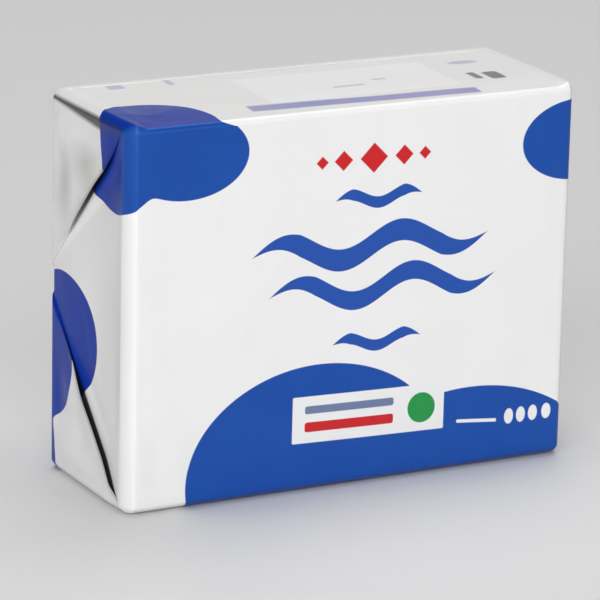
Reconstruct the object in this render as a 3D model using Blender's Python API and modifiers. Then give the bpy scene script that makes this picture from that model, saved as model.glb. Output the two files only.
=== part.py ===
"""A block of butter in its folded paper wrap, standing on one long narrow side.

The origin is the middle of the base. X runs along the block, Y through its
thickness with the printed face towards -Y, and Z is up. Sizes are in metres.

The wrap is one sheet, folded up round the butter as a tray whose floor is the
printed face. At each of the tray's corners the spare paper makes an ear: a
doubled triangle that is laid flat on the end of the block, with a free fold
that slopes at 45 degrees from a front corner to the back. The tray's mouth is
the back. It is closed like an envelope: the ends are folded in, then the lower
long flap is folded up, and the upper long flap is folded down over it. Each
layer leaves its step in the solid.
"""

import bmesh
import bpy
from mathutils import Matrix, Vector

# The wrapped block.
LENGTH = 0.098
THICKNESS = 0.036
HEIGHT = 0.077
EDGE_RADIUS = 0.0022
EDGE_SEGMENTS = 5

# The folds: how high an ear stands on the end, how far the long flaps reach
# over the back, how high each flap stands there, and how far the edge of a
# layer shows past the layer above it.
EAR_STEP = 0.0006
LONG_FLAP_REACH = 0.044
BACK_STEP = 0.0003
FOLD_SHELF = 0.0003

# A cutter reaches this far outside the block, so that no faces coincide.
CUTTER_REACH = 0.003
WELD_DISTANCE = 0.000001

# The paper's finish: white coated paper, half glossy.
PAPER_COLOUR = (0.86, 0.87, 0.88, 1.0)
PAPER_ROUGHNESS = 0.38
PAPER_METALLIC = 0.15


def clear_scene():
    """Remove what the file opens with."""
    for item in list(bpy.data.objects):
        bpy.data.objects.remove(item, do_unlink=True)


def new_collection(name):
    """Make a collection in the scene."""
    collection = bpy.data.collections.new(name)
    bpy.context.scene.collection.children.link(collection)
    return collection


def paper_material():
    """White coated paper with a satin gloss."""
    material = bpy.data.materials.new("coated_paper")
    material.use_nodes = True
    shader = material.node_tree.nodes["Principled BSDF"]
    shader.inputs["Base Color"].default_value = PAPER_COLOUR
    shader.inputs["Roughness"].default_value = PAPER_ROUGHNESS
    shader.inputs["Metallic"].default_value = PAPER_METALLIC
    return material


def rounded_block(collection):
    """The block under its folds: a box with rounded edges, standing on Z = 0."""
    shape = bmesh.new()
    bmesh.ops.create_cube(shape, size=1.0)
    bmesh.ops.scale(shape, vec=(LENGTH, THICKNESS, HEIGHT), verts=shape.verts)
    mesh = bpy.data.meshes.new("wrapped_block")
    shape.to_mesh(mesh)
    shape.free()
    block = bpy.data.objects.new("wrapped_block", mesh)
    block.location.z = HEIGHT / 2
    collection.objects.link(block)
    rounding = block.modifiers.new("rounded_edges", "BEVEL")
    rounding.width = EDGE_RADIUS
    rounding.segments = EDGE_SEGMENTS
    rounding.limit_method = "ANGLE"
    rounding.use_clamp_overlap = False
    block.data.materials.append(paper_material())
    return block


def face_cutter(name, outline, along, outward, face_distance, depth, collection):
    """A prism that lowers part of one upright face by a depth.

    The outline lists corners as (distance along the face, height). It is drawn
    as a flat curve, turned so that its x runs along the face and its y upwards,
    and thickened across the face from outside the block to the given depth.
    """
    curve = bpy.data.curves.new(name, "CURVE")
    curve.dimensions = "2D"
    curve.fill_mode = "BOTH"
    curve.extrude = (CUTTER_REACH + depth) / 2
    spline = curve.splines.new("POLY")
    spline.points.add(len(outline) - 1)
    for point, (distance, height) in zip(spline.points, outline):
        point.co = (distance, height, 0.0, 1.0)
    spline.use_cyclic_u = True
    drawing = bpy.data.objects.new(name + "_outline", curve)
    up = Vector((0.0, 0.0, 1.0))
    turn = Matrix((along, up, along.cross(up))).transposed().to_4x4()
    middle = outward * (face_distance + (CUTTER_REACH - depth) / 2)
    drawing.matrix_world = Matrix.Translation(middle) @ turn
    collection.objects.link(drawing)
    bpy.context.view_layer.update()

    evaluated = drawing.evaluated_get(bpy.context.evaluated_depsgraph_get())
    mesh = bpy.data.meshes.new_from_object(evaluated)
    shape = bmesh.new()
    shape.from_mesh(mesh)
    bmesh.ops.remove_doubles(shape, verts=shape.verts, dist=WELD_DISTANCE)
    bmesh.ops.recalc_face_normals(shape, faces=shape.faces)
    shape.to_mesh(mesh)
    shape.free()
    cutter = bpy.data.objects.new(name, mesh)
    cutter.matrix_world = drawing.matrix_world.copy()
    cutter.hide_render = True
    cutter.display_type = "WIRE"
    collection.objects.link(cutter)
    bpy.data.objects.remove(drawing, do_unlink=True)
    return cutter


def lower(block, cutter):
    """Take a cutter's shape out of the block."""
    modifier = block.modifiers.new(cutter.name, "BOOLEAN")
    modifier.operation = "DIFFERENCE"
    modifier.solver = "EXACT"
    modifier.object = cutter


def between_ears():
    """The part of an end that no ear covers, from the front edge to the back.

    An ear's free fold runs at 45 degrees from a front corner, so it meets the
    back edge one thickness below the top, or above the base. Drawn on past the
    back, the two folds would meet at half the height.
    """
    front = -THICKNESS / 2 - CUTTER_REACH
    apex = front + HEIGHT / 2 + CUTTER_REACH
    return [(front, HEIGHT + CUTTER_REACH), (apex, HEIGHT / 2), (front, -CUTTER_REACH)]


def around_upper_flap():
    """The back's outline with the upper long flap left out of it."""
    half = LENGTH / 2
    past = CUTTER_REACH
    tip_half = half - LONG_FLAP_REACH
    tip_height = HEIGHT - LONG_FLAP_REACH
    return [
        (-half - past, HEIGHT + past),
        (-half, HEIGHT),
        (-tip_half, tip_height),
        (tip_half, tip_height),
        (half, HEIGHT),
        (half + past, HEIGHT + past),
        (half + past, -past),
        (-half - past, -past),
    ]


def folded_in_end(side):
    """The triangle of a folded-in end that shows between the two long flaps.

    Its slopes lie a little outside the long flaps' own, so the flap between
    shows an edge. side is -1 or +1 along the face.
    """
    edge = side * (LENGTH / 2 + CUTTER_REACH)
    run = HEIGHT / 2 + CUTTER_REACH - FOLD_SHELF
    apex = edge - side * run
    top = HEIGHT + CUTTER_REACH - FOLD_SHELF
    base = FOLD_SHELF - CUTTER_REACH
    return [(edge, top), (apex, HEIGHT / 2), (edge, base)]


def fold_ends(block, cutters):
    """Lower each end between its two ears."""
    along = Vector((0.0, 1.0, 0.0))
    for side, side_name in ((-1, "left"), (1, "right")):
        outward = Vector((side, 0.0, 0.0))
        lower(block, face_cutter("between_ears_" + side_name, between_ears(), along,
                                 outward, LENGTH / 2, EAR_STEP, cutters))


def close_back(block, cutters):
    """Lower the back round its upper flap, and again where the ends show."""
    along = Vector((-1.0, 0.0, 0.0))
    outward = Vector((0.0, 1.0, 0.0))
    lower(block, face_cutter("around_upper_flap", around_upper_flap(), along,
                             outward, THICKNESS / 2, BACK_STEP, cutters))
    for side, side_name in ((-1, "right"), (1, "left")):
        lower(block, face_cutter("folded_in_" + side_name, folded_in_end(side), along,
                                 outward, THICKNESS / 2, 2 * BACK_STEP, cutters))


def main():
    clear_scene()
    model = new_collection("wrapped_butter_block")
    cutters = new_collection("cutters")
    block = rounded_block(model)
    fold_ends(block, cutters)
    close_back(block, cutters)


main()
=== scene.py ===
# %% [markdown]
# # A wrapped block of butter
#
# Butter for the table is sold as a brick in one sheet of coated paper. The sheet is folded
# up round the brick as a tray whose floor is the printed front. At each of the tray's
# corners the spare paper makes an ear, a doubled triangle that is laid flat on the end.
# The tray's mouth is the back, and it is closed like an envelope.
#
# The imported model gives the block's size and its place. Every length below is in
# millimetres, in the model's own frame, and becomes metres when a mesh is made.

import bmesh
import bpy
import numpy as np
from mathutils import Matrix, Vector


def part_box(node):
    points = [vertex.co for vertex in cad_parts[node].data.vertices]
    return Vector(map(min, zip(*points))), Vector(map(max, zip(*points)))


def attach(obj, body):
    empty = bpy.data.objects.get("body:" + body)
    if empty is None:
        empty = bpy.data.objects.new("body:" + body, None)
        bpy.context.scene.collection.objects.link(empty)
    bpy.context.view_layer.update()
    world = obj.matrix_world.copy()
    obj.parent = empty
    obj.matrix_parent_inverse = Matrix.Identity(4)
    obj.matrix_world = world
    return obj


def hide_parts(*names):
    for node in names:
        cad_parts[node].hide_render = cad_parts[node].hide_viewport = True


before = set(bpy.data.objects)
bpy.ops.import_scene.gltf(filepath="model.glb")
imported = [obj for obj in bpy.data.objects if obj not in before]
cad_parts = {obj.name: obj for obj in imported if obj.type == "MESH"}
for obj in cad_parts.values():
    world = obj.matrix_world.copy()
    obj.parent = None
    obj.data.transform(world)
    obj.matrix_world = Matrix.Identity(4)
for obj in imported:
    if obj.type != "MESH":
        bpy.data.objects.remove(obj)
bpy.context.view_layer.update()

MM = 0.001
lowest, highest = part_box("wrapped_block")
half_length = highest.x / MM
half_thickness = highest.y / MM
height = highest.z / MM
print("block", 2 * half_length, "x", 2 * half_thickness, "x", height, "mm")

# %% [markdown]
# ## The camera
#
# The camera was found from the block's own corners in the photograph: it looks at the
# front from 28 degrees to the left and 16 degrees above, through a long lens. It is made
# first, because it shows which folds and edges have to be right.

# %% Camera
YAW, PITCH, ROLL = np.radians((27.97, 16.242, 1.306))
FOCAL_LENGTH = 238.1
SENSOR_WIDTH = 36.0
CAMERA_OFFSET = np.array((2.43, 5.13, 783.0))


def camera_axes(yaw, pitch, roll):
    """Right, up and forward: a level camera turned by yaw, tipped by pitch, then rolled."""
    forward = np.array((
        np.sin(yaw) * np.cos(pitch), np.cos(yaw) * np.cos(pitch), -np.sin(pitch)
    ))
    right = np.array((np.cos(yaw), -np.sin(yaw), 0.0))
    up = np.cross(right, forward)
    rolled_right = np.cos(roll) * right + np.sin(roll) * up
    rolled_up = np.cos(roll) * up - np.sin(roll) * right
    return np.array((rolled_right, rolled_up, forward))


axes = camera_axes(YAW, PITCH, ROLL)
block_middle = np.array((0.0, 0.0, height / 2))
camera_place = (block_middle - axes.T @ CAMERA_OFFSET) * MM
camera_data = bpy.data.cameras.new("camera")
camera_data.lens = FOCAL_LENGTH
camera_data.sensor_width = SENSOR_WIDTH
camera_data.clip_start = 0.01
camera_data.clip_end = 20.0
camera = bpy.data.objects.new("camera", camera_data)
turned = Matrix((axes[0], axes[1], -axes[2])).transposed().to_4x4()
camera.matrix_world = Matrix.Translation(camera_place) @ turned
bpy.context.scene.collection.objects.link(camera)
bpy.context.scene.camera = camera
print("camera at", camera_place.round(3))

# %% [markdown]
# ## How the wrap is laid out
#
# The wrap is one closed surface made of rectangular grids that share their borders. Its
# columns run round the block at fixed distances from the front: over the front edge's
# rounding, along the flat of the thickness, and over the back edge's rounding. Ears, end
# panels, top and bottom all use these columns, so their borders meet point for point.
#
# Every point also gets its place on the flat sheet before it was folded. That place is
# the UV map, and the print is drawn on it, so a printed spot runs on over a fold as it
# does on the real paper.

# %% Columns from the front to the back
EDGE_RADIUS = 1.9
FRONT_EDGE_DEPTH = 3.4
EDGE_POWER = 1.25
ROUNDING_STEPS = 10
FLAT_STEPS = 52
FLAP_ROOM = 0.6


def bent(angle):
    """Sine and cosine of a turn, to a power above 1: a crisp bend with a flatter middle."""
    return np.sin(angle) ** EDGE_POWER, np.abs(np.cos(angle)) ** EDGE_POWER


front_face = -half_thickness
back_face = half_thickness - FLAP_ROOM
quarter = np.linspace(0.0, np.pi / 2, ROUNDING_STEPS + 1)
flat_part = np.linspace(0.0, 1.0, FLAT_STEPS + 1) ** 1.3
flat_front = front_face + FRONT_EDGE_DEPTH
flat_back = back_face - EDGE_RADIUS
flat_y = flat_front + (flat_back - flat_front) * flat_part
no_inset = np.zeros(FLAT_STEPS - 1)
front_sine, front_cosine = bent(quarter[::-1])
column_y = np.concatenate((
    flat_y[0] - FRONT_EDGE_DEPTH * front_sine,
    flat_y[1:-1],
    flat_y[-1] + EDGE_RADIUS * np.sin(quarter),
))
column_inset = np.concatenate((
    EDGE_RADIUS * (1 - front_cosine), no_inset, EDGE_RADIUS * (1 - np.cos(quarter))
))
front_turn = np.concatenate((quarter[::-1], no_inset, 0 * quarter))
back_turn = np.concatenate((0 * quarter, no_inset, quarter))
flat_from = ROUNDING_STEPS
print(len(column_y), "columns")

# %% [markdown]
# ## The folds that slope at 45 degrees
#
# A corner square of the sheet is folded along its diagonal. So the free fold of each ear
# starts at a front corner and drops as far as it has gone back. `reach` is that distance
# for every column. The end panel lies under the ears, which stand a little proud of it.

# %% Reach of the ears, and the widths of the block there
EAR_HEIGHT = 0.4
EAR_SWELL = 10.0


def ease(t):
    """Rise from 0 to 1 and hold: three times t squared less twice t cubed."""
    t = np.clip(t, 0.0, 1.0)
    return t * t * (3.0 - 2.0 * t)


def reach_at(y):
    """As far down as back; it makes up for the deeper front edge over the first way."""
    way = np.clip(y - flat_front, 0.0, None)
    return EDGE_RADIUS + way + (FRONT_EDGE_DEPTH - EDGE_RADIUS) * ease(way / 6.0)


quarter_turn = np.pi / 2
FOLD_BULGE = 0.9
sheet_way = reach_at(np.minimum(column_y, flat_back)) + EDGE_RADIUS * back_turn
reach = sheet_way + FOLD_BULGE * ease((column_y - flat_front) / 6.0)
flat_reach = reach_at(flat_back) + FOLD_BULGE
front_v = EDGE_RADIUS * (1 - 2 * front_turn / quarter_turn)
sheet_v = np.where(front_turn > 0, front_v, sheet_way)
sheet_v = sheet_v + EDGE_RADIUS * (2 / quarter_turn - 1) * back_turn


def mound(across, up, centre, spread):
    """A hill of height 1: e to minus the squared distance, counted in spreads."""
    return np.exp(
        -(((across - centre[0]) / spread[0]) ** 2) - ((up - centre[1]) / spread[1]) ** 2
    )


EDGE_PULL = 2.4
rising = (column_y - front_face) / FRONT_EDGE_DEPTH
falling = 1 - ease((column_y - flat_front) / 12.0)
pull = EDGE_PULL * np.minimum(rising, falling)
PULL_ON_SHEET = 1 - (FRONT_EDGE_DEPTH - EDGE_RADIUS) / EDGE_PULL

panel_half = half_length - EAR_HEIGHT
corner_way = half_length - panel_half + 2 * EDGE_RADIUS
ear_half = panel_half + EAR_HEIGHT * ease((reach - EDGE_RADIUS) / EAR_SWELL) * np.cos(back_turn)
print("end panel at", panel_half, "mm, ears at up to", ear_half.max().round(2), "mm")

# %% [markdown]
# ## Relief
#
# Soft butter under thin paper is never flat. Each face gets its own broad bows, dents
# and folds, as a height in millimetres that fades out at the borders.

# %% Relief of the faces
def fade(low_side, high_side, width):
    """1 inside and 0 at a border: the distances to both borders, eased over a width."""
    return ease(low_side / width) * ease(high_side / width)


def crest(distance, width):
    """A long soft ridge: e to minus the squared distance, counted in widths."""
    return np.exp(-((distance / width) ** 2))


def front_relief(x, z):
    """Broad bow of the front, with a slanting fold and dents towards the lower left."""
    to_side = panel_half - EDGE_RADIUS - np.abs(x)
    inside = fade(to_side, to_side, 4.0)
    inside = inside * fade(z - EDGE_RADIUS, height - EDGE_RADIUS - z, 4.0)
    bow = 0.30 * mound(x, z, (4.0, 40.0), (40.0, 30.0))
    slant = (x + 40.0) * 0.78 + (z - 14.0) * 0.62
    along = (z - 14.0) * 0.78 - (x + 40.0) * 0.62
    fold = 0.20 * crest(slant, 2.4) * crest(along, 9.0)
    dent = -0.24 * mound(x, z, (-43.0, 9.0), (3.5, 7.0))
    dent = dent - 0.14 * mound(x, z, (-33.0, 7.0), (6.0, 4.0))
    dent = dent - 0.14 * mound(x, z, (40.0, 12.0), (5.0, 8.0))
    rib = 0.07 * crest(x + 44.2 + 0.5 * np.sin(z / 9.0), 0.9) * ease((52.0 - z) / 30.0)
    wave = 0.05 * np.sin(x / 7.0 + z / 11.0) * np.sin(z / 8.0 - x / 17.0)
    return inside * (bow + fold + dent + rib + wave)


FRONT_SAG = 0.75


def top_relief(x, y):
    """Slight sag of the long walls, with a ridge over the doubled paper at each end."""
    inside = fade(y - flat_front, flat_back - y, 3.0)
    sag = -0.20 * mound(x, y, (0.0, 4.0), (34.0, 11.0))
    ridge = 0.16 * crest(np.abs(x) - 44.8, 1.2)
    fold = 0.10 * crest(x * 0.94 - y * 0.34 + 22.0, 1.4) * crest(y - 6.0, 7.0)
    wave = 0.05 * np.sin(x / 6.0 + 0.7) * np.sin(y / 4.0 + x / 13.0)
    to_side = ear_half - EDGE_RADIUS - np.abs(x)
    return inside * ease(to_side / 1.5) * (sag + ridge + fold + wave)


def front_sag(x, y, inset):
    """The top slopes down over the last way to its front edge, less so at both ends."""
    to_side = ear_half - EDGE_RADIUS - np.abs(x)
    slope = 1 - ease((y - flat_front + 1.0) / 9.0)
    return FRONT_SAG * slope * (1 - inset / EDGE_RADIUS) * ease(to_side / 1.5)


def panel_relief(y, z):
    """A fall just behind the front edge, then a shallow hollow to the back."""
    back_way = np.clip(y - flat_front, 0.0, None)
    fall = -0.75 * (1 - np.exp(-back_way / 4.5)) * (1 - ease((back_way - 9.0) / 18.0))
    deeper = ease((z - 4.0) / 24.0) + 0.5 * crest(z - 34.0, 14.0)
    inside = fade(y - flat_front, flat_back - y, 3.0)
    hollow = -0.12 * mound(y, z, (-2.0, 38.0), (9.0, 22.0))
    wave = 0.05 * np.sin(z / 6.5 + y / 9.0) * np.sin(y / 5.0 + 1.0)
    return fall * deeper * ease((flat_back - y) / 3.0) + inside * (hollow + wave)


def ear_relief(y, drop):
    """The paper swells under the end's edge, sinks below it, and rises at the fold."""
    inside = fade(y - flat_front, flat_back - y, 3.0) * ease((drop - EDGE_RADIUS) / 2.5)
    swell = 0.42 * crest(drop - 6.0, 3.0) * crest(y - 6.0, 9.0)
    sink = -0.26 * mound(y, drop, (2.5, 11.0), (3.6, 3.2))
    sink = sink - 0.34 * mound(y, drop, (12.0, 15.5), (4.0, 5.0))
    rise = 0.30 * mound(y, drop, (7.5, 18.5), (3.0, 4.0))
    return inside * (swell + sink + rise)


# %% [markdown]
# ## Grids that become one closed mesh
#
# A grid holds its points and their places on the flat sheet. Grids are joined where
# their borders meet. Each face corner keeps the sheet place of its own grid, so the
# print is cut cleanly wherever the paper really is in two layers.

# %% Collect grids and make a mesh of them
SHEET_UNIT = 100.0
MERGE_DISTANCE = 0.00000002


def grid_faces(rows, columns, first):
    """Corner numbers of each small square: a point, the next row, both, the next column."""
    number = first + np.arange(rows * columns).reshape(rows, columns)
    return np.stack(
        (number[:-1, :-1], number[1:, :-1], number[1:, 1:], number[:-1, 1:]), axis=-1
    ).reshape(-1, 4)


def closed_mesh(name, grids):
    """Join grids of (points, sheet places) into one closed, smooth, outward mesh."""
    points = np.concatenate([grid.reshape(-1, 3) for grid, _ in grids])
    places = np.concatenate([sheet.reshape(-1, 3) for _, sheet in grids])
    firsts = np.cumsum([0] + [grid[..., 0].size for grid, _ in grids[:-1]])
    faces = np.concatenate([
        grid_faces(*grid.shape[:2], first) for (grid, _), first in zip(grids, firsts)
    ])
    mesh = bpy.data.meshes.new(name)
    mesh.from_pydata((points * MM).tolist(), [], faces.tolist())
    sheet_map = mesh.uv_layers.new(name="flat_sheet")
    corners = places[faces.ravel()]
    sheet_map.data.foreach_set("uv", (corners[:, :2] / SHEET_UNIT).ravel())
    # The third value of each sheet place is the shade painted there in a fold.
    painted_fold_shade = mesh.attributes.new("painted_fold_shade", "FLOAT", "CORNER")
    painted_fold_shade.data.foreach_set("value", corners[:, 2].copy())
    shape = bmesh.new()
    shape.from_mesh(mesh)
    bmesh.ops.remove_doubles(shape, verts=shape.verts, dist=MERGE_DISTANCE)
    bmesh.ops.dissolve_degenerate(shape, edges=shape.edges, dist=MERGE_DISTANCE / 10)
    bmesh.ops.recalc_face_normals(shape, faces=shape.faces)
    shape.to_mesh(mesh)
    shape.free()
    mesh.polygons.foreach_set("use_smooth", np.ones(len(mesh.polygons), bool))
    mesh.update()
    piece = bpy.data.objects.new(name, mesh)
    bpy.context.scene.collection.objects.link(piece)
    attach(piece, "root")
    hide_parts("wrapped_block")
    print(name, len(mesh.vertices), "points", len(mesh.polygons), "faces")
    return piece


def stacked(*parts):
    """Broadcast parts to one shape and put them side by side in a last axis."""
    return np.stack(np.broadcast_arrays(*parts), axis=-1).astype(float)


# %% [markdown]
# ## The four ears
#
# Each ear is the top or bottom wall carried on over the end's edge. It hangs down to its
# free fold, where the paper turns back under itself. The free fold stands off the end
# panel, most in the middle of its slope, and leaves a dark pocket. A real turn and a real
# pocket are made here, because a painted line would not catch the light as paper does.
# Shade is also painted into the pocket, round the fold and on the ear's face beside it.
#
# The same functions make all four ears: `out` is the distance from the block's middle
# plane, and `drop` the distance from the top, or from the base for a lower ear.

# %% Place a grid on a chosen end and wall
def on_corner(side, upper, out, y, drop):
    """x is out times the side; z is drop, counted from the top or from the base."""
    z = height - drop if upper else drop
    return stacked(side * out, y, z)


def on_sheet(side, upper, across, along, fold_shade=0.0):
    """Sheet places: mirrored left to right, and to the lower wall beyond the front.
    The third value is the shade painted there in a fold.
    """
    return stacked(side * across, along if upper else -height - along, fold_shade)


# %% Ear, its rounded edge, and its free fold
EAR_ROWS = 30
POCKET_DEPTH = 5.0
FOLD_RADIUS = 0.11
FLOOR_ROWS = 8
CEILING_ROWS = 12
NOSE_ROWS = 9
NOSE_SHADE = 0.45


def lift_along(fold_lift, open_by, close_from, close_by):
    """How far a free fold stands off: it opens from the corner and closes at the back."""
    opening = ease((reach - EDGE_RADIUS) / open_by)
    closing = 1 - ease((reach - close_from) / (close_by - close_from))
    ripple = 1 + 0.07 * np.sin(reach / 2.3 + close_from)
    return fold_lift * opening * closing * ripple


def shade_along(deep_until):
    """How strong the shade painted in a free fold's pocket is: from the corner on, and
    fainter to the back.
    """
    return (1 - 0.75 * ease((reach - deep_until) / 14.0)) * ease((reach - EDGE_RADIUS) / 0.9)


def ear(side, upper, lift, deep_until):
    """The ear's face: from its free fold up to the edge, with the fold's lift fading.
    Shade is painted on the strip of the face next to the fold.
    """
    up = np.linspace(0.0, 1.0, EAR_ROWS + 1)[:, None]
    drop = reach + (EDGE_RADIUS - reach) * up
    away = (reach - drop) / np.sqrt(2)
    curl = lift * (1 - ease(away / 9.0)) * (1 - 0.35 * ease(away / 2.5)) * (1 - ease(up))
    out = ear_half - column_inset + curl + ear_relief(column_y, drop) * ease(away / 3.0)
    grid = on_corner(side, upper, out, column_y, drop)
    painted_shade = NOSE_SHADE * (1 - ease(away / 0.9)) * shade_along(deep_until)
    sheet = on_sheet(side, upper, half_length + drop, sheet_v, painted_shade)
    return grid[:, flat_from:], sheet[:, flat_from:]


def ear_edge(side, upper):
    """A quarter turn from the ear to the wall; its radius shrinks over front and back.

    The upper front edge is bent more tightly than the upright ones, so over this turn
    the columns near the front are pulled forward to where the wall has them.
    """
    forward = pull * upper
    turn = quarter[:, None]
    sine, cosine = bent(turn)
    radius = EDGE_RADIUS - column_inset
    out = ear_half - EDGE_RADIUS + radius * cosine
    drop = EDGE_RADIUS - radius * sine
    part = turn / quarter_turn
    grid = on_corner(side, upper, out, column_y - forward * ease(part), drop)
    across = (half_length + EDGE_RADIUS) * (1 - part) + (ear_half - EDGE_RADIUS) * part
    across = across - (1 - part) * corner_way * front_turn / quarter_turn
    pulled_v = sheet_v - forward * PULL_ON_SHEET * ease(part)
    corner_v = -EDGE_RADIUS * (1 - part) + pulled_v * part
    cut = flat_from
    return [
        (grid[:, : cut + 1], on_sheet(side, upper, across, corner_v)[:, : cut + 1]),
        (grid[:, cut:], on_sheet(side, upper, across, pulled_v)[:, cut:]),
    ]


def free_fold(side, upper, lift, deep_until):
    """Pocket and rolled fold, drawn square to the slope.

    From the end panel the paper runs in under the ear, turns at the pocket's end, comes
    back as the ear's underside, and goes round a half circle to the ear's outer face.
    The pocket is deep up to a chosen reach, and runs out from there to the back.
    Shade is painted on the pocket's floor and round the fold, fainter to the back.
    """
    tall = ear_half - panel_half + lift
    running_out = ease((reach - deep_until) / 14.0)
    open_here = ease((reach - EDGE_RADIUS) / 1.4) * (1 - running_out)
    shade = shade_along(deep_until)
    room = np.minimum((reach - EDGE_RADIUS) * 0.7, (flat_reach - reach) * 1.2)
    depth = np.clip(np.minimum(POCKET_DEPTH, room), 0.0, None) * open_here
    radius = np.minimum(FOLD_RADIUS, 0.3 * tall) * open_here

    def in_place(inward, outward):
        slope = inward / np.sqrt(2)
        out = panel_half - column_inset + outward
        return on_corner(side, upper, out, column_y + slope, reach - slope)[:, flat_from:]

    in_part = np.linspace(0.0, 1.0, FLOOR_ROWS)[:, None] ** 2
    inward = depth * in_part
    shift = inward / np.sqrt(2)
    painted_shade = ease(inward / 0.3) * shade
    panel_sheet = on_sheet(side, upper, half_length + sheet_way + shift, -reach + shift, painted_shade)
    floor = in_place(inward, 0.0 * inward), panel_sheet[:, flat_from:]

    back_part = np.linspace(0.0, 1.0, CEILING_ROWS)[:, None]
    under_in = depth * (1 - back_part)
    under_out = (tall - 2 * radius) * (0.05 + 0.95 * back_part ** 1.4)
    roll = np.linspace(0.0, np.pi, NOSE_ROWS)[1:, None]
    nose_in = -radius * np.sin(roll)
    nose_out = tall - radius - radius * np.cos(roll)
    inward = np.concatenate((depth + 0 * under_in[:1], under_in, nose_in))
    outward = np.concatenate((0 * under_out[:1], under_out, nose_out))
    way = np.concatenate((
        under_in[:1] + np.pi * radius, under_in + np.pi * radius, radius * (np.pi - roll)
    ))
    shift = way / np.sqrt(2)
    painted_shade = (NOSE_SHADE + (1 - NOSE_SHADE) * ease(way / 0.35)) * shade
    ear_sheet = on_sheet(side, upper, half_length + reach + shift, sheet_v - shift, painted_shade)
    return floor, (in_place(inward, outward), ear_sheet[:, flat_from:])


# %% Make the ears
ears = {
    (-1, True): lift_along(1.0, 13.0, 20.0, 33.0),
    (-1, False): lift_along(1.0, 3.7, 18.0, 28.0),
    (1, True): lift_along(0.8, 9.0, 19.0, 32.0),
    (1, False): lift_along(0.7, 4.0, 18.0, 30.0),
}
deep_until = {(-1, True): 15.0, (-1, False): 18.0, (1, True): 18.0, (1, False): 20.0}
ear_grids = {
    corner: ear(*corner, lift, deep_until[corner]) for corner, lift in ears.items()
}
fold_grids = {
    corner: free_fold(*corner, lift, deep_until[corner]) for corner, lift in ears.items()
}
edge_grids = [part for corner in ears for part in ear_edge(*corner)]
most_lift = max(lift.max() for lift in ears.values())
print(len(ear_grids), "ears, free folds up to", most_lift.round(2), "mm")

# %% [markdown]
# ## Walls, end panels and front
#
# The walls are as wide as the flat between two rounded edges. An end panel is tall at
# the front and narrows between the two slopes. The front's grid takes its columns from
# the walls and its rows from the end panels, so that it closes the ring.

# %% Walls
WALL_STEPS = 98
PANEL_STEPS = 78
across_part = np.linspace(-1.0, 1.0, WALL_STEPS + 1)[:, None]


def wall(upper):
    """A long wall: across the width at each column, with its relief square to it."""
    x = across_part * (ear_half - EDGE_RADIUS)
    drop = column_inset - top_relief(x, column_y) * (1.0 if upper else 0.2)
    if upper:
        drop = drop + front_sag(x, column_y, column_inset)
    z = height - drop if upper else drop
    forward = pull * upper
    along = sheet_v - forward * PULL_ON_SHEET
    sheet = stacked(x, along if upper else -height - along, 0.0)
    return stacked(x, column_y - forward, z), sheet


# %% End panels
upper_fold_z = height - reach
lower_fold_z = reach
up_part = np.linspace(0.0, 1.0, PANEL_STEPS + 1)[:, None]


def end_panel(side):
    """Straight lines from the lower slope to the upper one, at each column."""
    z = lower_fold_z + up_part * (upper_fold_z - lower_fold_z)
    rest = ease(up_part * 12.0) * ease((1 - up_part) * 12.0)
    out = panel_half - column_inset + panel_relief(column_y, z) * rest
    across = half_length + sheet_way - corner_way * front_turn / quarter_turn
    return stacked(side * out, column_y, z), stacked(side * across, z - height, 0.0)


# %% Front
def front():
    """x from the walls' columns, z from the panels' rows, y from the relief."""
    x = across_part * (panel_half - EDGE_RADIUS)
    z = (EDGE_RADIUS + up_part * (height - 2 * EDGE_RADIUS)).T
    y = front_face - front_relief(x, z)
    return stacked(x, y, z), stacked(x, z - height, 0.0)


# %% Back
def back():
    """Lines across from the left end to the right, at every row of the ends.

    The rows are those of the ears, folds and panel where they end at the back. In the
    narrow panel they lie close together, and there the upper of the two folded-in ends
    is one paper higher than the lower.
    """
    left = [
        ear_grids[-1, False][0][::-1, -1],
        fold_grids[-1, False][1][0][::-1, -1],
        fold_grids[-1, False][0][0][::-1, -1],
        end_panel(-1)[0][:, -1],
        fold_grids[-1, True][0][0][:, -1],
        fold_grids[-1, True][1][0][:, -1],
        ear_grids[-1, True][0][:, -1],
    ]
    row = np.concatenate(left)
    x = across_part * -row[:, 0]
    z = row[:, 2] + 0 * x
    inside = fade(x + 46.0, 46.0 - x, 1.5) * fade(z - 2.2, height - 2.2 - z, 1.5)
    layer = 0.13 * ease((z - 38.2) / 0.15)
    puff = 0.2 * mound(x, z, (-20.0, 40.0), (14.0, 14.0))
    puff = puff + 0.2 * mound(x, z, (22.0, 36.0), (14.0, 14.0))
    y = back_face + inside * (layer - puff)
    upper = z > 38.2
    depth = half_length - np.abs(x)
    across = half_length + np.where(upper, height - z, z)
    along = np.where(upper, 2 * half_thickness + depth, -height - 2 * half_thickness - depth)
    return stacked(x, y, z), stacked(np.sign(x) * across, along, 0.0)


# %% Make the folded sheet
grids = [wall(True), wall(False), end_panel(-1), end_panel(1), front(), back()]
grids += list(ear_grids.values()) + edge_grids
grids += [part for pair in fold_grids.values() for part in pair]
folded_sheet = closed_mesh("folded_sheet", grids)

# %% [markdown]
# ## The envelope's long flaps
#
# On the back the ends are folded in first. Then the lower long flap is folded up, and the
# upper long flap down over it. Their sides slope at 45 degrees, because the folded-in
# ends pull the corners with them. Each flap is a flat loop carried over the edge and down
# the back: thin where it leaves the wall, and two papers thick along its folded sides.

# %% Carry a flat loop down the back
FLAP_REACH = 44.0
FLAP_THICKNESS = 0.32
FLAP_STEPS = 70
SIDE_ROWS = 7
BROAD_ROWS = 50


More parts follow.
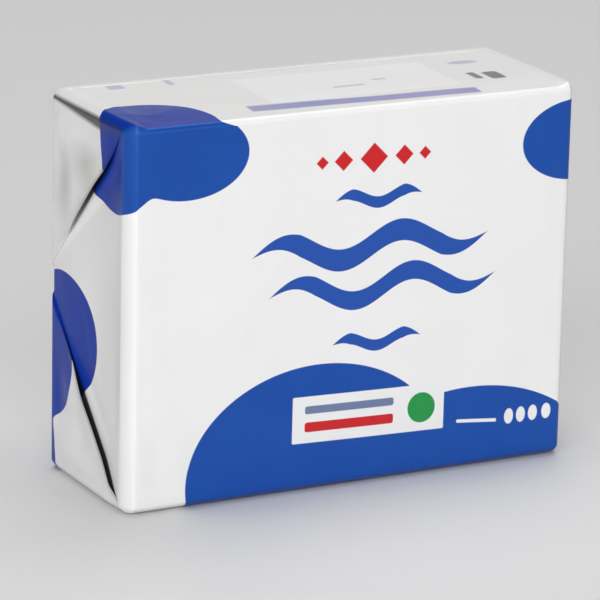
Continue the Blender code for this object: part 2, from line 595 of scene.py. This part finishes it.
def long_flap(name, upper, rise):
    """A loop of two long lines and two half circles, carried along the wall and back.

    The half width follows the 45 degree sides. The loop's height over the tray grows
    over the first few millimetres, and rises once more where another flap lies below.
    """
    way = np.linspace(-1.6, FLAP_REACH - EDGE_RADIUS + EDGE_RADIUS * quarter_turn, FLAP_STEPS + 1)
    turn = np.clip(way / EDGE_RADIUS, 0.0, quarter_turn)
    down = np.clip(way - EDGE_RADIUS * quarter_turn, 0.0, None)
    y = flat_y[-1] + np.minimum(way, 0.0) + EDGE_RADIUS * np.sin(turn)
    drop = EDGE_RADIUS * (1 - np.cos(turn)) + down
    half_width = panel_half - EDGE_RADIUS - down
    thick = 0.03 + (FLAP_THICKNESS - 0.03) * ease((way + 1.6) / 7.0)
    base = rise(drop) - 0.02

    broad = np.linspace(-1.0, 1.0, BROAD_ROWS + 1)[:, None]
    side = np.linspace(-np.pi / 2, np.pi / 2, SIDE_ROWS + 2)[1:-1, None]
    straight = half_width - thick / 2
    x = np.concatenate((
        broad * straight, straight + thick / 2 * np.cos(side),
        -broad * straight, -straight - thick / 2 * np.cos(side), broad[:1] * straight,
    ))
    lift = np.concatenate((
        thick + 0 * broad, thick / 2 * (1 - np.sin(side)),
        0 * thick + 0 * broad, thick / 2 * (1 + np.sin(side)), thick + 0 * broad[:1],
    ))
    waviness = 0.07 * np.sin(x / 9.0 + down / 7.0) * ease(down / 8.0)
    lift = base + lift + waviness
    along_y = y + lift * np.sin(turn)
    along_drop = drop - lift * np.cos(turn)
    z = height - along_drop if upper else along_drop
    grid = stacked(x, along_y, z)
    sheet = stacked(x, (36.0 + drop) if upper else (-height - 36.0 - drop), 0.0)
    half_loop = BROAD_ROWS + 1 + SIDE_ROWS
    first = np.concatenate((grid[-SIDE_ROWS - 1 : -1], grid[: BROAD_ROWS + 1]))
    second = grid[BROAD_ROWS + 1 : 2 * BROAD_ROWS + 2 + SIDE_ROWS][::-1]
    caps = []
    for column in (0, -1):
        outer = grid[: BROAD_ROWS + 1, column]
        inner = grid[half_loop : half_loop + BROAD_ROWS + 1, column][::-1]
        caps.append((np.stack((outer, inner)), np.stack((sheet[: BROAD_ROWS + 1, column],) * 2)))
        right = grid[BROAD_ROWS : half_loop + 1, column]
        left = grid[half_loop + BROAD_ROWS :, column]
        for rim in (right, left):
            middle = (rim[0] + rim[-1]) / 2
            fan = np.stack((rim, np.broadcast_to(middle, rim.shape)))
            caps.append((fan, np.zeros(fan.shape) + sheet[0, column]))
            ladder = np.stack((rim[[0, -1]], np.stack((middle, middle))))
            caps.append((ladder, np.zeros((2, 2, 3)) + sheet[0, column]))
    return closed_mesh(name, [(grid, sheet)] + caps)


def over_tray(drop):
    """The lower flap lies on the tray all the way."""
    return 0.02 + 0.0 * drop


def over_lower_flap(drop):
    """The upper flap rises where the lower flap lies under it."""
    return 0.02 + 0.34 * ease((drop - 20.0) / 12.0)


lower_long_flap = long_flap("lower_long_flap", False, over_tray)
upper_long_flap = long_flap("upper_long_flap", True, over_lower_flap)

# %% [markdown]
# ## Shader maths as plain expressions
#
# A material is a net of nodes. Writing the net node by node hides what it means, so one
# small class wraps a node's output. Adding or multiplying two of them adds the Math node.

# %% A socket that can be reckoned with
class Value:
    """One output of a material's node, for use in ordinary arithmetic."""

    tree = None

    def __init__(self, socket):
        self.socket = socket

    @classmethod
    def node(cls, kind, settings=None, inputs=None, output=0):
        """Add a node of a kind, with its settings first and then its inputs."""
        made = cls.tree.nodes.new(kind)
        for name, setting in (settings or {}).items():
            setattr(made, name, setting)
        for name, given in (inputs or {}).items():
            if isinstance(given, cls):
                cls.tree.links.new(given.socket, made.inputs[name])
            else:
                made.inputs[name].default_value = given
        return cls(made.outputs[output]) if len(made.outputs) else made

    @classmethod
    def math(cls, operation, *values):
        """A Math node of one operation on up to three values."""
        return cls.node("ShaderNodeMath", {"operation": operation}, dict(enumerate(values)))

    def __add__(self, other):
        return self.math("ADD", self, other)

    def __sub__(self, other):
        return self.math("SUBTRACT", self, other)

    def __rsub__(self, other):
        return self.math("SUBTRACT", other, self)

    def __mul__(self, other):
        return self.math("MULTIPLY", self, other)

    def __truediv__(self, other):
        return self.math("DIVIDE", self, other)

    def __abs__(self):
        return self.math("ABSOLUTE", self)

    __radd__ = __add__
    __rmul__ = __mul__


def larger(first, second):
    """The larger of two values."""
    return Value.math("MAXIMUM", first, second)


def smaller(first, second):
    """The smaller of two values."""
    return Value.math("MINIMUM", first, second)


def blended(factor, first, second):
    """A colour between two colours."""
    inputs = {0: factor, 6: first, 7: second}
    return Value.node("ShaderNodeMix", {"data_type": "RGBA"}, inputs, output=2)


# %% [markdown]
# ## Shapes of the print
#
# Print is drawn by distances on the flat sheet. A shape is a value that is below zero
# inside it and above zero outside, in millimetres, so shapes can be melted together,
# given an outline, or turned into a sharp mask.

# %% Distances and masks
PRINT_EDGE = 0.12


def printed(distance, edge=PRINT_EDGE):
    """1 where ink lies and 0 where not, with a narrow blurred border."""
    made = Value.math("SUBTRACT", 0.5, distance / edge)
    made.socket.node.use_clamp = True
    return made


def oval(u, v, centre, radii):
    """Distance from an oval: length of the place counted in radii, less one."""
    x = (u - centre[0]) / radii[0]
    y = (v - centre[1]) / radii[1]
    return (Value.math("SQRT", x * x + y * y) - 1.0) * min(radii)


def melted(shapes, softness=3.0):
    """Several shapes run together like drops: the smooth minimum of their distances."""
    joined = shapes[0]
    for shape in shapes[1:]:
        joined = Value.math("SMOOTH_MIN", joined, shape, softness)
    return joined


def bar(u, v, low, high, corner=0.6):
    """Distance from a box with round corners, from its low corner to its high one."""
    x = larger(abs(u - (low[0] + high[0]) / 2) - ((high[0] - low[0]) / 2 - corner), 0.0)
    y = larger(abs(v - (low[1] + high[1]) / 2) - ((high[1] - low[1]) / 2 - corner), 0.0)
    return Value.math("SQRT", x * x + y * y) - corner


def diamond(u, v, centre, half):
    """Distance from a square on its corner: the two distances added, less the half."""
    return (abs(u - centre[0]) + abs(v - centre[1]) - half) * 0.707


def wave_stroke(u, v, start, end, middle, swing, beats, widest):
    """Distance from a brushed wave: off its sine line, less a width that tapers."""
    part = (u - start) / (end - start)
    line = Value.math("SINE", part * (beats * 2 * np.pi)) * swing + middle
    taper = smaller(part * 5.0, (1.0 - part) * 5.0)
    taper = smaller(larger(taper, -1.0), 1.0)
    return abs(v - line) - taper * widest


# %% [markdown]
# ## Coated paper
#
# The wrap is thin white paper on foil with a satin coat, so it has soft highlights on its
# folds. Painted into its colour are a dark grey band along the ends' upper edges, shade in
# the folds' pockets, and patches of shade and light on the upper left ear. Fine fibres
# and faint crinkles break up the gloss.

# %% Places on the sheet
wrap_paper = bpy.data.materials.new("coated_wrap_paper")
wrap_paper.use_nodes = True
Value.tree = wrap_paper.node_tree
Value.tree.nodes.clear()
sheet_place = Value.node("ShaderNodeUVMap", {"uv_map": "flat_sheet"})
sheet_split = Value.node("ShaderNodeSeparateXYZ", None, {0: sheet_place})
sheet_x = sheet_split * SHEET_UNIT
sheet_y = Value(sheet_split.socket.node.outputs[1]) * SHEET_UNIT
solid_place = Value.node("ShaderNodeTexCoord", None, None, output=3)


def noise(scale, detail=2.0, roughness=0.5):
    """Cloudy noise in the block's own space; scale counts its spots in a metre."""
    return Value.node("ShaderNodeTexNoise", None, {
        "Vector": solid_place, "Scale": scale, "Detail": detail, "Roughness": roughness,
    })


# %% Blue spots
blue_shapes = [
    melted([
        oval(sheet_x, sheet_y, (-36.5, -7.0), (12.8, 8.4)),
        oval(sheet_x, sheet_y, (-42.3, 3.0), (12.9, 12.4)),
        oval(sheet_x, sheet_y, (-56.0, -5.0), (16.0, 13.5)),
        oval(sheet_x, sheet_y, (-50.0, 0.0), (14.8, 12.4)),
    ], 2.0),
    oval(sheet_x, sheet_y, (-78.3, -48.5), (13.3, 13.1)),
    melted([
        oval(sheet_x, sheet_y, (-73.3, -114.0), (13.8, 13.0)),
        oval(sheet_x, sheet_y, (-50.0, -115.0), (14.0, 6.0)),
    ]),
    melted([
        oval(sheet_x, sheet_y, (-8.0, -73.0), (28.2, 22.0)),
        oval(sheet_x, sheet_y, (26.0, -85.3), (33.0, 25.4)),
    ]),
    oval(sheet_x, sheet_y, (49.0, -11.5), (12.6, 8.2)),
    oval(sheet_x, sheet_y, (72.0, -42.0), (13.0, 16.0)),
    oval(sheet_x, sheet_y, (64.0, 24.0), (9.0, 10.0)),
    oval(sheet_x, sheet_y, (-18.0, 58.0), (16.0, 12.0)),
    oval(sheet_x, sheet_y, (14.0, -142.0), (20.0, 11.0)),
    oval(sheet_x, sheet_y, (70.0, -118.0), (12.0, 13.0)),
]
nearest_blue = blue_shapes[0]
for shape in blue_shapes[1:]:
    nearest_blue = smaller(nearest_blue, shape)
blue_ink = printed(nearest_blue)

# %% Brushed waves and a row of diamonds on the front
waves = [
    wave_stroke(sheet_x, sheet_y, -22.8, 29.0, -28.2, 2.4, 2.0, 2.2),
    wave_stroke(sheet_x, sheet_y, -19.0, 31.0, -36.6, 2.4, 2.0, 1.9),
    wave_stroke(sheet_x, sheet_y, -5.0, 14.0, -18.8, 1.0, 1.5, 1.15),
    wave_stroke(sheet_x, sheet_y, -5.0, 14.5, -47.6, 1.0, 1.5, 1.15),
]
nearest_wave = waves[0]
for shape in waves[1:]:
    nearest_wave = smaller(nearest_wave, shape)
deep_ink = printed(nearest_wave)
red_marks = diamond(sheet_x, sheet_y, (3.2, -10.9), 3.0)
for place, half in ((-3.4, 2.0), (-8.0, 1.3), (9.8, 2.0), (14.4, 1.3)):
    red_marks = smaller(red_marks, diamond(sheet_x, sheet_y, (place, -10.9), half))
red_ink = printed(red_marks)

# %% Label on the large blue spot
tilted_y = sheet_y + (sheet_x - 3.5) * 0.03
label = printed(bar(sheet_x, tilted_y, (-13.3, -67.2), (20.4, -57.7), 0.3))
label_grey = printed(bar(sheet_x, tilted_y, (-10.6, -61.3), (9.0, -59.7), 0.5))
label_red = printed(bar(sheet_x, tilted_y, (-10.6, -65.0), (9.0, -63.0), 0.5))
label_green = printed(oval(sheet_x, tilted_y, (15.3, -62.4), (3.1, 3.1)))
small_white = bar(sheet_x, sheet_y + (sheet_x - 28.0) * 0.10, (23.4, -67.5), (32.6, -66.8), 0.3)
for place in (35.5, 38.3, 41.1, 44.2):
    small_white = smaller(small_white, oval(sheet_x, sheet_y, (place, -67.2), (1.05, 1.6)))
small_white = printed(small_white)

# %% Marks on the top wall
turned_y = sheet_y + (sheet_x - 4.0) * 0.046
top_stripe = printed(bar(sheet_x, turned_y, (-21.0, 3.3), (28.0, 6.9), 0.3), 0.6)
leaning_x = sheet_x - (sheet_y - 18.0) * 0.06
whiter_field = printed(bar(leaning_x, sheet_y, (-14.6, 8.4), (27.0, 27.6), 0.8), 0.8)
dark_marks = printed(smaller(
    bar(leaning_x, sheet_y, (31.9, 10.6), (33.6, 15.4), 0.6),
    bar(leaning_x, sheet_y, (34.9, 9.6), (38.2, 14.6), 0.8),
), 0.5)
faint_marks = smaller(
    bar(leaning_x, sheet_y, (2.0, 14.2), (9.0, 15.2), 0.4),
    bar(leaning_x, sheet_y, (12.0, 17.0), (15.0, 18.0), 0.4),
)
for low, high in (((-40.0, 28.6), (-36.6, 31.6)), ((-27.6, 28.2), (-26.2, 32.0))):
    faint_marks = smaller(faint_marks, bar(leaning_x, sheet_y, low, high, 0.5))
faint_marks = printed(smaller(faint_marks, oval(sheet_x, sheet_y, (36.0, 24.0), (3.2, 1.3))), 0.6)

# %% Ink over paper
cloud = noise(60.0, 3.0)
broad_cloud = noise(17.0, 1.0)
to_front = larger(abs(sheet_x) - 51.3, larger(sheet_y - 0.6, -77.6 - sheet_y))
# A soft whiter patch near the top of the upper left ear is painted light; it joins the whiter
# print ground.
painted_ear_light = printed(oval(sheet_x, sheet_y, (-55.0, 25.0), (4.2, 8.5)), 4.5)
white_ground_and_ear_light = larger(printed(to_front, 0.7), larger(whiter_field, painted_ear_light * 0.9))
bare_paper = blended(cloud, (0.79, 0.78, 0.775, 1.0), (0.85, 0.84, 0.835, 1.0))
white_paper = blended(cloud, (0.845, 0.845, 0.845, 1.0), (0.895, 0.89, 0.89, 1.0))
ink_blue = blended(cloud, (0.001, 0.058, 0.350, 1.0), (0.004, 0.080, 0.405, 1.0))
ink_dull = (0.001, 0.033, 0.335, 1.0)
ink_deep = (0.012, 0.080, 0.410, 1.0)
colour = blended(white_ground_and_ear_light, bare_paper, white_paper)
colour = blended(blue_ink, colour, blended(white_ground_and_ear_light, ink_dull, ink_blue))
colour = blended(deep_ink, colour, ink_deep)
colour = blended(red_ink, colour, (0.62, 0.012, 0.016, 1.0))
colour = blended(label, colour, (0.86, 0.86, 0.86, 1.0))
colour = blended(label_grey, colour, (0.16, 0.21, 0.36, 1.0))
colour = blended(label_red, colour, (0.60, 0.015, 0.020, 1.0))
colour = blended(label_green, colour, (0.015, 0.300, 0.065, 1.0))
colour = blended(small_white, colour, (0.86, 0.86, 0.86, 1.0))
colour = blended(top_stripe * (0.70 + 0.30 * cloud), colour, (0.24, 0.24, 0.52, 1.0))
colour = blended(dark_marks * 0.9, colour, (0.13, 0.13, 0.15, 1.0))
colour = blended(faint_marks * 0.6, colour, (0.34, 0.34, 0.56, 1.0))

# %% Painted shade on the upper left ear
on_ear = printed(50.5 - abs(sheet_x), 2.0) * printed(larger(-2.0 - sheet_y, sheet_y - 40.0), 3.0)
ear_shade_patches = smaller(
    oval(sheet_x, sheet_y, (-60.6, 19.5), (3.0, 4.5)),
    oval(sheet_x, sheet_y, (-66.5, 29.0), (5.5, 3.4)),
)
painted_ear_shade = printed(ear_shade_patches, 5.0) * on_ear
# Two soft grey patches of painted shade on the ear's face.
colour = blended(painted_ear_shade * 0.42, colour, (0.40, 0.40, 0.39, 1.0))

# %% Dark grey band painted along the upper end edges
toward_front = printed(sheet_y - 22.0, 22.0)
band_half = 0.55 + 0.80 * toward_front
fold_distance = abs(abs(sheet_x) - 50.3 - 0.7 * toward_front)
on_top = printed(3.0 - sheet_y, 2.0) * printed(sheet_y - 37.0, 2.0)
dark_edge_band = printed(fold_distance - band_half, 0.9) * on_top
colour = blended(dark_edge_band * (0.92 - 0.62 * blue_ink), colour, (0.085, 0.082, 0.078, 1.0))
# Painted shade: the fold pockets, the free folds and the ear faces beside them are darkened.
painted_fold_shade = Value.node("ShaderNodeAttribute", {"attribute_name": "painted_fold_shade"}, None, output=2)
colour = blended(painted_fold_shade * 0.95, colour, (0.010, 0.011, 0.016, 1.0))

# %% Gloss and fine relief
fibre = noise(2600.0, 2.0)
crinkle = noise(210.0, 2.0, 0.45)
crease_lines = larger(0.05 - abs(noise(34.0, 1.5) - 0.5), 0.0)
roughness = 0.33 + 0.14 * cloud - 0.05 * blue_ink + 0.08 * fibre + 0.10 * painted_fold_shade
relief = crinkle * 0.08 + crease_lines * 1.1 + broad_cloud * 0.5 + fibre * 0.005
bump = Value.node("ShaderNodeBump", None, {"Strength": 1.0, "Distance": MM, "Height": relief})
shader = Value.node("ShaderNodeBsdfPrincipled", None, {
    "Base Color": colour,
    "Roughness": roughness,
    "Metallic": 0.09 + dark_edge_band * 0.25,
    "Coat Weight": 0.07,
    "Coat Roughness": 0.18,
    "Specular IOR Level": 0.28,
    "Normal": bump,
})
Value.node("ShaderNodeOutputMaterial", None, {"Surface": shader})
for piece in (folded_sheet, lower_long_flap, upper_long_flap):
    piece.data.materials.append(wrap_paper)
print("wrap paper", len(wrap_paper.node_tree.nodes), "nodes")

# %% [markdown]
# ## Floor and light
#
# The block stands on a plain pale floor under large soft lights, so its folds show as
# soft changes of grey. The dark band along the end's upper edges is painted into the
# paper's colour.

# %% Floor
FLOOR_HALF = 4.0
floor_mesh = bpy.data.meshes.new("floor")
floor_corners = np.array(((-1, -1, 0), (1, -1, 0), (1, 1, 0), (-1, 1, 0))) * FLOOR_HALF
floor_mesh.from_pydata(floor_corners.tolist(), [], [(0, 1, 2, 3)])
floor = bpy.data.objects.new("floor", floor_mesh)
bpy.context.scene.collection.objects.link(floor)
floor_paint = bpy.data.materials.new("pale_floor")
floor_paint.use_nodes = True
floor_shader = floor_paint.node_tree.nodes["Principled BSDF"]
floor_shader.inputs["Base Color"].default_value = (0.73, 0.73, 0.73, 1.0)
floor_shader.inputs["Roughness"].default_value = 0.6
floor_mesh.materials.append(floor_paint)


# %% Lights
def soft_light(name, place, size, energy):
    """A square light that faces the block's middle from a place in metres."""
    data = bpy.data.lights.new(name, "AREA")
    data.size = size
    data.energy = energy
    light = bpy.data.objects.new(name, data)
    aim = Vector(place) - Vector(block_middle * MM)
    light.location = place
    light.rotation_euler = aim.to_track_quat("Z", "Y").to_euler()
    bpy.context.scene.collection.objects.link(light)
    return light


soft_light("key_light", (-0.97, -1.24, 0.60), 1.6, 25.8)
soft_light("right_light", (0.80, -1.40, 0.70), 1.0, 4.8)
soft_light("top_light", (0.2, 0.25, 1.6), 1.4, 17.8)
soft_light("left_light", (-1.7, -0.15, 0.14), 0.7, 2.4)
soft_light("back_light", (0.80, 1.50, 0.50), 0.9, 1.8)

world = bpy.data.worlds.new("room")
world.use_nodes = True
bpy.context.scene.world = world
room = world.node_tree.nodes["Background"]
room.inputs["Color"].default_value = (1.0, 1.0, 1.0, 1.0)
room.inputs["Strength"].default_value = 0.04
bpy.context.scene.view_settings.view_transform = "Standard"
